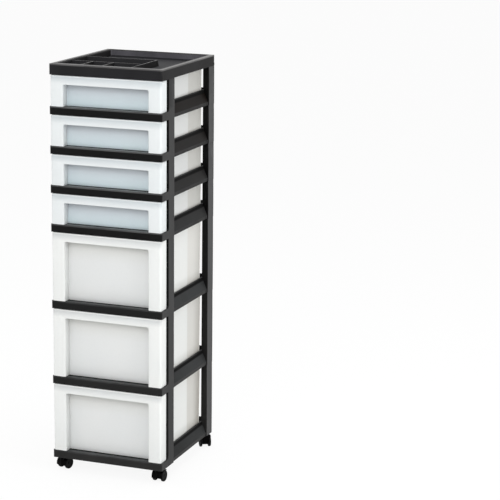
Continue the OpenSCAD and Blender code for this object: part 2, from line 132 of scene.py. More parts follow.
SIDEWAYS = Band("|X|", 0.8, 0.95)
UPRIGHT_SIDE = Band("|X|", 0.6, 0.9)
FRONTWARD = Band("Y", -0.6, -0.9)
LEVEL = Band("Z", 0.8, 0.95)
NEARLY_LEVEL = Band("Z", 0.6, 0.9)
LEANING = Band("Z", 0.15, 0.3)
TOO_LEVEL = Band("Z", 0.6, 0.8)


class NodeBench:
    """Adds nodes to one new material and links them."""

    def __init__(self, name: str) -> None:
        """Makes an empty material.

        Args:
            name: Name of the material.
        """
        self.material = bpy.data.materials.new(name)
        self.material.use_nodes = True
        self.tree = self.material.node_tree
        self.tree.nodes.clear()

    @classmethod
    def over(cls, tree: bpy.types.NodeTree) -> NodeBench:
        """Returns a bench that works on a tree that is there already, emptied."""
        bench = cls.__new__(cls)
        bench.tree = tree
        tree.nodes.clear()
        return bench

    def add(self, kind: str, inputs: dict[str, object] | None = None, **settings: object) -> bpy.types.Node:
        """Adds a node.

        Args:
            kind: Blender's type name of the node, without "ShaderNode".
            inputs: Values or output sockets for its inputs, by input name.
            **settings: Properties of the node itself.

        Returns:
            The new node.
        """
        node = self.tree.nodes.new("ShaderNode" + kind)
        for key, value in settings.items():
            setattr(node, key, value)
        for key, value in (inputs or {}).items():
            self.put(node.inputs[key], value)
        return node

    def put(self, socket: Socket, value: object) -> None:
        """Links an output socket to an input, or sets the input's value."""
        if isinstance(value, Socket):
            self.tree.links.new(value, socket)
        else:
            socket.default_value = value

    def place(self) -> Socket:
        """Returns the point on the piece, in metres from the tower's foot."""
        return self.add("TexCoord").outputs["Object"]

    def noise(self, scale: float, detail: float, stretch: Point = (1.0, 1.0, 1.0)) -> Socket:
        """Adds a noise over the piece.

        Args:
            scale: Cells per metre.
            detail: Octaves.
            stretch: Factor on each axis; below 1 draws the cells out.

        Returns:
            The noise's value, 0 to 1.
        """
        spot = self.add("Mapping", {"Vector": self.place(), "Scale": stretch})
        made = self.add("TexNoise", {"Vector": spot.outputs[0], "Scale": scale, "Detail": detail})
        return made.outputs["Fac"]

    def spread(self, value: Socket, low: float, high: float, to_low: object = 0.0,
               to_high: object = 1.0) -> Socket:
        """Maps a value from one range to another, clamped.

        Args:
            value: The value to map.
            low: Start of its range.
            high: End of its range.
            to_low: Result at low, a number or a socket.
            to_high: Result at high, a number or a socket.

        Returns:
            The mapped value.
        """
        made = self.add("MapRange", {"Value": value, "From Min": low, "From Max": high,
                                     "To Min": to_low, "To Max": to_high})
        return made.outputs["Result"]

    def part(self, vector: Socket, name: str) -> Socket:
        """Returns one part of a vector, "X", "Y" or "Z", or with bars, as in "|X|", its size alone."""
        made = self.add("SeparateXYZ", {"Vector": vector}).outputs[name.strip("|")]
        return self.math("ABSOLUTE", made, 0.0) if name.startswith("|") else made

    def facing(self, band: Band) -> Socket:
        """Returns a band's share along the surface's normal."""
        normal = self.add("NewGeometry").outputs["Normal"]
        return self.spread(self.part(normal, band.part), band.none, band.full)

    def where(self, band: Band) -> Socket:
        """Returns a band's share along the point on the piece."""
        return self.spread(self.part(self.place(), band.part), band.none, band.full)

    def math(self, how: str, first: object, second: object) -> Socket:
        """Adds a sum on two values.

        Args:
            how: Blender's name of the sum, such as "MULTIPLY".
            first: A number or a socket.
            second: A number or a socket.

        Returns:
            The result.
        """
        made = self.add("Math", operation=how)
        self.put(made.inputs[0], first)
        self.put(made.inputs[1], second)
        return made.outputs[0]

    def both(self, first: Socket, second: Socket) -> Socket:
        """Returns the share that two shares have in common."""
        return self.math("MULTIPLY", first, second)

    def within(self, share: Socket, band: Band) -> Socket:
        """Returns what a share has in common with a band of places."""
        return self.both(share, self.where(band))

    def blend(self, share: Socket, first: object, second: object, how: str = "MIX") -> Socket:
        """Mixes two colours.

        Args:
            share: How much of the second, 0 to 1.
            first: A tone, or a colour socket.
            second: A tone, or a colour socket.
            how: Blender's name of the way to mix.

        Returns:
            The mixed colour.
        """
        made = self.add("Mix", data_type="RGBA", blend_type=how)
        self.put(made.inputs["Factor"], share)
        for socket, tone in ((made.inputs[6], first), (made.inputs[7], second)):
            self.put(socket, tone if isinstance(tone, Socket) else (*tone, 1.0))
        return made.outputs[2]

    def shade_and_stain(self, share: Socket, tone: Socket, shade_and_stain: Tone) -> Socket:
        """Returns a colour multiplied by another tone, as far as a share says: painted shade, and the
        plastic's own clouds and flecks.
        """
        return self.blend(share, tone, shade_and_stain, "MULTIPLY")

    def relief(self, height: Socket, depth: float, under: Socket | None = None) -> Socket:
        """Adds a bump.

        Args:
            height: Height of the relief, 0 to 1.
            depth: Its depth in metres.
            under: A normal that it is laid over.

        Returns:
            The bumped normal.
        """
        made = self.add("Bump", {"Height": height, "Strength": 1.0, "Distance": depth})
        if under is not None:
            self.put(made.inputs["Normal"], under)
        return made.outputs["Normal"]

    def mix(self, share: object, first: bpy.types.Node, second: bpy.types.Node) -> Socket:
        """Returns the mix of two nodes' shaders, with a share of the second."""
        made = self.add("MixShader")
        for socket, value in zip(made.inputs, (share, first.outputs[0], second.outputs[0])):
            self.put(socket, value)
        return made.outputs[0]

    def plastic(self, tone: Socket, matt: Socket, normal: Socket, shine: float) -> bpy.types.Node:
        """Returns a node for the surface of a plastic."""
        return self.add("BsdfPrincipled", {"Base Color": tone, "Roughness": matt, "Normal": normal,
                                           "Specular IOR Level": shine, "IOR": 1.49})

    def close(self, shader: Socket) -> Material:
        """Links the shader to the output and returns the material."""
        self.add("OutputMaterial", {"Surface": shader})
        return self.material


@dataclass(frozen=True)
class Zone:
    """A part of a moulding whose surface differs from the rest: its colour holds painted light and shade,
    and its roughness differs.

    Attributes:
        share: Where it lies, 0 to 1.
        tone: Colour there.
        sheen: Roughness there.
    """

    share: Socket
    tone: Tone
    sheen: Sheen


@dataclass(frozen=True)
class BlackMoulding:
    """Satin black plastic as it comes from the mould.

    Attributes:
        name: Name of the material.
        tone: Colour of the plastic.
        haze: Colour where flow marks and scuffs have greyed it.
        roughness: Lowest and highest roughness.
        shine: Strength of the surface reflection.
        grain: Grains per metre of the mould's texture.
        grain_depth: Depth of that texture.
        wave_depth: Depth of the long waves in its surface.
        most_haze: Most haze along the flow marks, in the specks and in the scuffs.
    """

    name: str
    tone: Tone
    haze: Tone
    roughness: Span
    shine: float
    grain: float = 2600.0
    grain_depth: float = 0.02 * MM
    wave_depth: float = 0.35 * MM
    most_haze: Point = (0.6, 0.3, 0.55)

    def zones(self, bench: NodeBench) -> list[Zone]:
        """Returns the parts whose surface differs, each laid over the ones before."""
        return []

    def material(self) -> Material:
        """Builds the node material."""
        bench = NodeBench(self.name)
        tone, matt = self.tone, bench.spread(bench.noise(24.0, 4.0), 0.3, 0.7, *self.roughness)
        for zone in self.zones(bench):
            tone = bench.blend(zone.share, tone, zone.tone)
            matt = bench.spread(zone.share, 0.0, 1.0, matt, zone.sheen.value)
        flow, specks = bench.noise(9.0, 3.0, (1.0, 1.0, 0.35)), bench.noise(420.0, 2.0)
        scuffs = bench.noise(55.0, 6.0, (0.25, 1.0, 2.4))
        marks = ((flow, 0.35, 0.7), (specks, 0.6, 0.8), (scuffs, 0.62, 0.78))
        for (mark, none, full), most in zip(marks, self.most_haze):
            tone = bench.blend(bench.spread(mark, none, full, 0.0, most), tone, self.haze)
        waves = bench.relief(bench.noise(16.0, 2.0), self.wave_depth)
        normal = bench.relief(bench.noise(self.grain, 2.0), self.grain_depth, waves)
        return bench.close(bench.plastic(tone, matt, normal, self.shine).outputs[0])


@dataclass(frozen=True)
class FrameMoulding(BlackMoulding):
    """The frames' plastic, whose tones follow the light and shade of the photograph.

    Attributes:
        side_shading_tone, rear_shading_tone: Colours of the front and the rear posts' outer sides, lighter
            by painted light.
        floor_light_tone: Colour near the floor, lighter by painted light from the floor.
        rail_light_tone, high_rail_shade_tone: Colours of the sloping side rails, lighter by painted light,
            and of the highest of them, darker by painted shade.
        ledge_light_tone, high_ledge_light_tone: Colours of the bars' ledges, near the floor and higher up,
            lighter by painted light.
        lip_highlight_tone, high_lip_highlight_tone: Painted highlights on the bars' rounded upper edges,
        near the floor and higher up.
        pit_tone: Colour of the rails' crests and of the ledges' rear, which lie in shade.
        front_posts, rear_posts: Where these posts' outer sides are.
        down: The frames' height down to the floor.
        up: The side rails' height up to the tray.
        crests, ledges: Where the rails' crests and the bars' ledges are.
        pits: The ledges' rear, under the drawers' fronts.
        faces: Where the bars' faces are.
        upper: The height from the deep frames up to the shallow ones.
        first_bar: Height of the lowest bar's underside.
        bar_step: The bars' heights differ by whole steps of this.
        lip: Heights above a bar's underside between which the rounded edge begins.
    """

    side_shading_tone: Tone = (0.03, 0.03, 0.03)
    rear_shading_tone: Tone = (0.05, 0.05, 0.051)
    floor_light_tone: Tone = (0.021, 0.021, 0.0205)
    rail_light_tone: Tone = (0.024, 0.0255, 0.026)
    high_rail_shade_tone: Tone = (0.003, 0.001, 0.0)
    ledge_light_tone: Tone = (0.045, 0.048, 0.049)
    high_ledge_light_tone: Tone = (0.12, 0.122, 0.122)
    lip_highlight_tone: Tone = (0.036, 0.036, 0.037)
    high_lip_highlight_tone: Tone = (0.085, 0.085, 0.086)
    pit_tone: Tone = (0.001, 0.001, 0.001)
    front_posts: Band = Band("Y", -0.090, -0.095)
    rear_posts: Band = Band("Y", 0.130, 0.135)
    down: Band = Band("Z", 0.620, 0.0)
    up: Band = Band("Z", 0.500, 0.970)
    crests: Band = Band("|X|", 0.1408, 0.1400)
    ledges: Band = Band("Y", -0.140, -0.145)
    pits: Band = Band("Y", -0.1585, -0.1565)
    faces: Band = Band("Y", -0.1705, -0.1715)
    upper: Band = Band("Z", 0.450, 0.750)
    first_bar: float = 0.035
    bar_step: float = 0.100
    lip: Span = (0.0170, 0.0180)

    def zones(self, bench: NodeBench) -> list[Zone]:
        """Returns the painted light and shade on the posts' outer sides, the rails, the ledges, their lips
        and the pits.
        """
        side = bench.facing(SIDEWAYS)
        slope = bench.math("SUBTRACT", bench.facing(LEANING), bench.facing(TOO_LEVEL))
        level = bench.within(bench.facing(LEVEL), self.ledges)
        upper, lip = bench.where(self.upper), self._lips(bench)
        return [Zone(bench.where(self.down), self.floor_light_tone, Sheen.SATIN),
                Zone(bench.within(side, self.front_posts), self.side_shading_tone, Sheen.SATIN),
                Zone(bench.within(side, self.rear_posts), self.rear_shading_tone, Sheen.SATIN),
                Zone(slope, self.rail_light_tone, Sheen.DULL),
                Zone(bench.within(slope, self.up), self.high_rail_shade_tone, Sheen.DULL),
                Zone(bench.within(slope, self.crests), self.pit_tone, Sheen.DEAD),
                Zone(lip, self.lip_highlight_tone, Sheen.POLISHED),
                Zone(bench.both(lip, upper), self.high_lip_highlight_tone, Sheen.POLISHED),
                Zone(level, self.ledge_light_tone, Sheen.POLISHED),
                Zone(bench.both(level, upper), self.high_ledge_light_tone, Sheen.POLISHED),
                Zone(bench.within(level, self.pits), self.pit_tone, Sheen.DEAD)]

    def _lips(self, bench: NodeBench) -> Socket:
        """Returns 1 on the rounded upper edge of each bar's face, where a highlight is painted."""
        rise = bench.math("SUBTRACT", bench.part(bench.place(), "Z"), self.first_bar)
        rise = bench.math("MODULO", rise, self.bar_step)
        return bench.within(bench.spread(rise, *self.lip), self.faces)


@dataclass(frozen=True)
class TrayMoulding(BlackMoulding):
    """The tray's plastic, whose tones follow the light and shade of the photograph.

    Attributes:
        level_light_tone, side_rim_light_tone: Colours of the rims and of the side rims, lighter by painted
            light.
        divider_highlight_tone: Colour of the dividers' edges, a painted highlight.
        floor_tone: Colour of the wells' floors and of the seam above the rear one, darker than the rims by
            painted shade.
        inner_light_tone, rear_wall_light_tone: Colours of the wells' walls that face the front, and of the
            rear one, lighter by painted light.
        side_shading_tone: Colour of the outer sides, darker by painted shade.
        lip_highlight_tone: Colour of the walls' uppermost edge, a painted highlight.
        side_rims: Where the side rims are.
        dividers: Below the rims, where the dividers' edges are.
        floors: Below the dividers' edges, where the wells' floors are.
        inside: Behind the front wall's face.
        rear_wall: Where the wells' rear wall is.
        seam: The foot of that wall.
        lips: The height of the walls' uppermost edge.
    """

    level_light_tone: Tone = (0.07, 0.068, 0.068)
    side_rim_light_tone: Tone = (0.15, 0.145, 0.14)
    divider_highlight_tone: Tone = (0.2, 0.195, 0.195)
    floor_tone: Tone = (0.02, 0.02, 0.022)
    inner_light_tone: Tone = (0.026, 0.026, 0.028)
    rear_wall_light_tone: Tone = (0.105, 0.102, 0.115)
    side_shading_tone: Tone = (0.005, 0.0045, 0.0045)
    lip_highlight_tone: Tone = (0.085, 0.083, 0.083)
    side_rims: Band = Band("|X|", 0.1455, 0.1465)
    dividers: Band = Band("Z", 1.0610, 1.0605)
    floors: Band = Band("Z", 1.0575, 1.0545)
    inside: Band = Band("Y", -0.166, -0.165)
    rear_wall: Band = Band("Y", 0.150, 0.151)
    seam: Band = Band("Z", 1.0475, 1.0460)
    lips: Band = Band("Z", 1.0588, 1.0598)

    def zones(self, bench: NodeBench) -> list[Zone]:
        """Returns the painted light and shade on the rims, the dividers, the wells' floors and walls, the
        outer sides and the lips.
        """
        level, frontward = bench.facing(NEARLY_LEVEL), bench.facing(FRONTWARD)
        wall = bench.within(frontward, self.rear_wall)
        return [Zone(level, self.level_light_tone, Sheen.RUBBED),
                Zone(bench.within(level, self.side_rims), self.side_rim_light_tone, Sheen.RUBBED),
                Zone(bench.within(level, self.dividers), self.divider_highlight_tone, Sheen.RUBBED),
                Zone(bench.within(level, self.floors), self.floor_tone, Sheen.MATT),
                Zone(bench.within(frontward, self.inside), self.inner_light_tone, Sheen.DULL),
                Zone(wall, self.rear_wall_light_tone, Sheen.EVEN),
                Zone(bench.within(wall, self.seam), self.floor_tone, Sheen.MATT),
                Zone(bench.facing(SIDEWAYS), self.side_shading_tone, Sheen.DULL),
                Zone(bench.math("SUBTRACT", bench.where(self.lips), level), self.lip_highlight_tone, Sheen.RUBBED)]


@dataclass(frozen=True)
class MilkyMoulding:
    """Translucent white plastic: light shows through it, shapes hardly do.

    Its tones follow the light and shade of the photograph.

    Attributes:
        name: Name of the material.
        height: Height of the drawer that it is on.
        tone: Colour of the plastic.
        cap_shade_tone: Colour just below the front's top edge, darker by painted shade.
        panel_shading_tone, eave_shade_tone: Colours of the recessed panel near its foot and under the top
            rail, both painted shading, darkest under the rail.
        side_shading_tone, rear_shading_tone: Colours of the tub's sides and of their set-in rear part,
            darker than the front by painted shade.
        foot: Heights above its underside where the sides' painted shade begins and is deepest.
        cap: Depths below the front's top edge between which the cap sets in.
        cap_fade: Depths at which the cap has gone and is full.
        eave: Depths at which the shade on the panel has gone and is full.
        faces: Where the front's face is.
        panel_front, panel_rear: Where the panel begins and ends.
        sides, set_in: Where the tub's sides and their set-in part begin.
        down: The height down to the lowest drawer.
        rear_end: The last stretch of the sides before the rear posts.
        foot_shade: What is left of the sides' colour at their foot: painted shade.
        low_shade: What is left of the rear part's colour on the lowest drawer: painted shade.
        end_shade: What is left of that at the rear end: painted shade.
        glow: Colour of the light that comes through.
        through: Share of the light that comes through.
        roughness: Lowest and highest roughness.
        shine: Strength of the surface reflection.
        cloud_stain, fleck_stain: What is left of the colour in the wide clouds and in the fine flecks.
    """

    name: str
    height: float
    tone: Tone
    cap_shade_tone: Tone
    panel_shading_tone: Tone
    eave_shade_tone: Tone
    side_shading_tone: Tone
    rear_shading_tone: Tone
    foot: Span
    cap: Span = (0.0022, 0.0034)
    cap_fade: Span = (0.020, 0.003)
    eave: Span = (0.073, 0.028)
    faces: Band = Band("Y", -0.168, -0.170)
    panel_front: Band = Band("Y", -0.152, -0.151)
    panel_rear: Band = Band("Y", -0.147, -0.148)
    sides: Band = Band("Y", -0.136, -0.135)
    set_in: Band = Band("Y", 0.038, 0.039)
    down: Band = Band("Z", 0.65, 0.15)
    rear_end: Band = Band("Y", 0.080, 0.125)
    foot_shade: Tone = (0.72, 0.715, 0.70)
    low_shade: Tone = (0.86, 0.855, 0.845)
    end_shade: Tone = (0.68, 0.665, 0.64)
    glow: Tone = (0.80, 0.83, 0.85)
    through: float = 0.25
    roughness: Span = (0.32, 0.44)
    shine: float = 0.35
    cloud_stain: Tone = (0.965, 0.975, 0.98)
    fleck_stain: Tone = (0.96, 0.96, 0.955)

    def material(self) -> Material:
        """Builds the node material."""
        bench = NodeBench(self.name)
        tone = self._sides(bench, self._front(bench))
        clouds = bench.spread(bench.noise(7.0, 3.0), 0.3, 0.7)
        flecks = bench.spread(bench.noise(140.0, 3.0), 0.45, 0.75, 0.0, 0.4)
        tone = bench.shade_and_stain(flecks, bench.shade_and_stain(clouds, tone, self.cloud_stain), self.fleck_stain)
        matt = bench.spread(bench.noise(30.0, 4.0), 0.3, 0.7, *self.roughness)
        waves = bench.relief(bench.noise(12.0, 2.0), 0.3 * MM)
        normal = bench.relief(bench.noise(2200.0, 2.0), 0.012 * MM, waves)
        front = bench.plastic(tone, matt, normal, self.shine)
        behind = bench.add("BsdfTranslucent", {"Color": (*self.glow, 1.0), "Normal": normal})
        return bench.close(bench.mix(self.through, front, behind))

    def _level(self, bench: NodeBench) -> Socket:
        """Returns the height on the drawer, 0 at its underside and 1 at its top."""
        return bench.part(bench.add("TexCoord").outputs["Generated"], "Z")

    def _below(self, bench: NodeBench, depths: Span) -> Socket:
        """Returns 0 to 1 between two depths below the drawer's top."""
        none, full = depths
        return bench.spread(self._level(bench), 1 - none / self.height, 1 - full / self.height)

    def _front(self, bench: NodeBench) -> Socket:
        """Returns the colour of the front, with the painted shade of its cap and its recessed panel."""
        cap = bench.both(self._below(bench, self.cap), self._below(bench, self.cap_fade))
        cap = bench.within(cap, self.faces)
        tone = bench.blend(cap, self.tone, self.cap_shade_tone)
        depth = bench.within(bench.where(self.panel_front), self.panel_rear)
        panel = bench.blend(self._below(bench, self.eave), self.panel_shading_tone, self.eave_shade_tone)
        return bench.blend(bench.both(depth, bench.facing(FRONTWARD)), tone, panel)

    def _sides(self, bench: NodeBench, tone: Socket) -> Socket:
        """Lays the colours of the tub's sides over the rest, with their painted shade.

        Args:
            bench: The material's bench.
            tone: Colour of the rest.

        Returns:
            The colour of the whole drawer.
        """
        upright = bench.facing(UPRIGHT_SIDE)
        side = bench.within(upright, self.sides)
        rear = bench.within(upright, self.set_in)
        low = bench.within(rear, self.down)
        tone = bench.blend(side, tone, self.side_shading_tone)
        tone = bench.blend(rear, tone, self.rear_shading_tone)
        tone = bench.shade_and_stain(low, tone, self.low_shade)
        tone = bench.shade_and_stain(bench.within(low, self.rear_end), tone, self.end_shade)
        start, dimmest = self.foot
        foot = bench.spread(self._level(bench), start / self.height, dimmest / self.height)
        return bench.shade_and_stain(bench.both(side, foot), tone, self.foot_shade)


@dataclass(frozen=True)
class TurnedSteel:
    """Plated steel of the caster stems, with fine turning marks.

    Attributes:
        name: Name of the material.
        tone: Colour of the plating.
        dull: Colour where it has dulled.
        roughness: Lowest and highest roughness.
    """

    name: str
    tone: Tone
    dull: Tone
    roughness: Span

    def material(self) -> Material:
        """Builds the node material."""
        bench = NodeBench(self.name)
        marks = bench.noise(900.0, 2.0, (1.0, 1.0, 6.0))
        tone = bench.blend(bench.spread(bench.noise(120.0, 4.0), 0.4, 0.7), self.tone, self.dull)
        matt = bench.spread(marks, 0.3, 0.7, *self.roughness)
        shader = bench.add("BsdfPrincipled", {
            "Base Color": tone, "Roughness": matt, "Metallic": 1.0,
            "Normal": bench.relief(marks, 0.01 * MM),
        })
        return bench.close(shader.outputs[0])


FRAME_BLACK = FrameMoulding("frame_black", (0.002, 0.002, 0.002), (0.007, 0.007, 0.007), (0.38, 0.48), 0.11)
TRAY_BLACK = TrayMoulding("tray_black", (0.008, 0.008, 0.009), (0.016, 0.016, 0.018), (0.36, 0.48), 0.15)
# The hoods' darker tone, and the weak shine of hoods and wheels, are painted shade under the base.
HOOD_BLACK = BlackMoulding(
    "hood_black", (0.0008, 0.0006, 0.0007), (0.003, 0.0028, 0.0028), (0.4, 0.5), 0.03)
WHEEL_BLACK = BlackMoulding("wheel_black", (0.002, 0.002, 0.002), (0.007, 0.007, 0.007), (0.42, 0.55), 0.07)
# One white plastic in two copies; the shallow copy's darker, cooler tones are painted shade.
DRAWER_WHITES = {
    Module.DEEP: MilkyMoulding(
        "drawer_white_deep", 0.1782, tone=(0.91, 0.915, 0.895), cap_shade_tone=(0.65, 0.66, 0.66),
        panel_shading_tone=(0.85, 0.855, 0.845), eave_shade_tone=(0.79, 0.785, 0.75),
        side_shading_tone=(0.85, 0.855, 0.83), rear_shading_tone=(0.79, 0.775, 0.735), foot=(0.044, 0.022)),
    Module.SHALLOW: MilkyMoulding(
        "drawer_white_shallow", 0.0782, tone=(0.865, 0.89, 0.89), cap_shade_tone=(0.61, 0.65, 0.67),
        panel_shading_tone=(0.81, 0.93, 0.97), eave_shade_tone=(0.60, 0.63, 0.665),
        side_shading_tone=(0.735, 0.74, 0.725), rear_shading_tone=(0.60, 0.59, 0.555), foot=(0.028, 0.018)),
}
PIN_STEEL = TurnedSteel("pin_steel", (0.55, 0.55, 0.56), (0.36, 0.35, 0.34), (0.22, 0.4))


# ---------- meshes


MODULES = (Module.DEEP,) * 3 + (Module.SHALLOW,) * 4
FLOOR_TURNS = (0, 15, 30, 45, 60, 75, 89.9)  # degrees round the rounding of a tub's bottom


def quarter(steps: int) -> list[float]:
    """Returns the angles of a quarter turn in radians, from 0 up, in equal steps."""
    return [math.radians(90 * k / steps) for k in range(steps + 1)]


def round_edges(piece: Piece, width: float, angle: float = 35) -> None:
    """Rounds a piece's edges with a modifier, over joined flat faces; its mesh stays as it is.

    Args:
        piece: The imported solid.
        width: Width of the rounding.
        angle: Only edges sharper than this are rounded, in degrees.
    """
    weld = piece.modifiers.new("joined", "WELD")
    weld.merge_threshold = 0.002 * MM
    flat = piece.modifiers.new("flats", "DECIMATE")
    flat.decimate_type = "DISSOLVE"
    flat.angle_limit = math.radians(0.4)
    flat.delimit = set()
    soft = piece.modifiers.new("soft_edges", "BEVEL")
    soft.width = width
    soft.segments = 2
    soft.limit_method = "ANGLE"
    soft.angle_limit = math.radians(angle)
    soft.use_clamp_overlap = True
    soft.harden_normals = True
    soft.miter_outer = "MITER_ARC"


def paint(piece: Piece, material: Material) -> None:
    """Puts one material on every slot of a piece.

    Args:
        piece: The piece.
        material: Its new material.
    """
    if not piece.data.materials:
        piece.data.materials.append(material)
    for entry in piece.material_slots:
        entry.material = material


def mirrored(right: list[Step]) -> list[Step]:
    """Returns the right half of a path, followed by its mirror image back down the left."""
    flip = Vector((-1, 1, 1))
    return right + [(point * flip, out * flip) for point, out in reversed(right)]


def piece_from(shape: Shape, name: str) -> Piece:
    """Turns mesh code's result into an object in the scene.

    Args:
        shape: The built mesh; it is freed.
        name: Name of the piece.

    Returns:
        The new object.
    """
    mesh = bpy.data.meshes.new(name)
    shape.to_mesh(mesh)
    shape.free()
    piece = bpy.data.objects.new(name, mesh)
    bpy.context.scene.collection.objects.link(piece)
    return piece


def settle(piece: Piece) -> None:
    """Applies a piece's modifiers to its mesh."""
    graph = bpy.context.evaluated_depsgraph_get()
    made = bpy.data.meshes.new_from_object(piece.evaluated_get(graph))
    piece.modifiers.clear()
    piece.data = made


@dataclass(frozen=True)
class Plan:
    """A rounded rectangle seen from above.

    Attributes:
        half: Half its width.
        front: Its front edge, the lower y.
        rear: Its rear edge.
        front_r: Radius of the front corners.
        rear_r: Radius of the rear corners.
        stops: Extra points along the sides, by y.
        set_in: How far the sides lie in between the first and last stop.
    """

    half: float
    front: float
    rear: float
    front_r: float
    rear_r: float
    stops: tuple[float, ...] = ()
    set_in: float = 0.0

    def loop(self, front_steps: int = 3, rear_steps: int = 7) -> list[Span]:
        """Returns its points, counterclockwise from the front left corner."""
        side = [(self.half - (self.set_in if 0 < k < len(self.stops) - 1 else 0.0), y)
                for k, y in enumerate(self.stops)]
        front_r, rear_r = self.front_r, self.rear_r
        right = self._arc(self.half - front_r, self.front + front_r, front_r, -math.pi / 2, front_steps)
        right += side
        right += self._arc(self.half - rear_r, self.rear - rear_r, rear_r, 0.0, rear_steps)
        return [(-x, y) for x, y in reversed(right)] + right

    @staticmethod
    def _arc(x: float, y: float, r: float, start: float, steps: int) -> list[Span]:
        """Returns a quarter circle's points from a start angle in radians."""
        return [(x + r * math.cos(start + a), y + r * math.sin(start + a)) for a in quarter(steps)]


# ---------- drawers


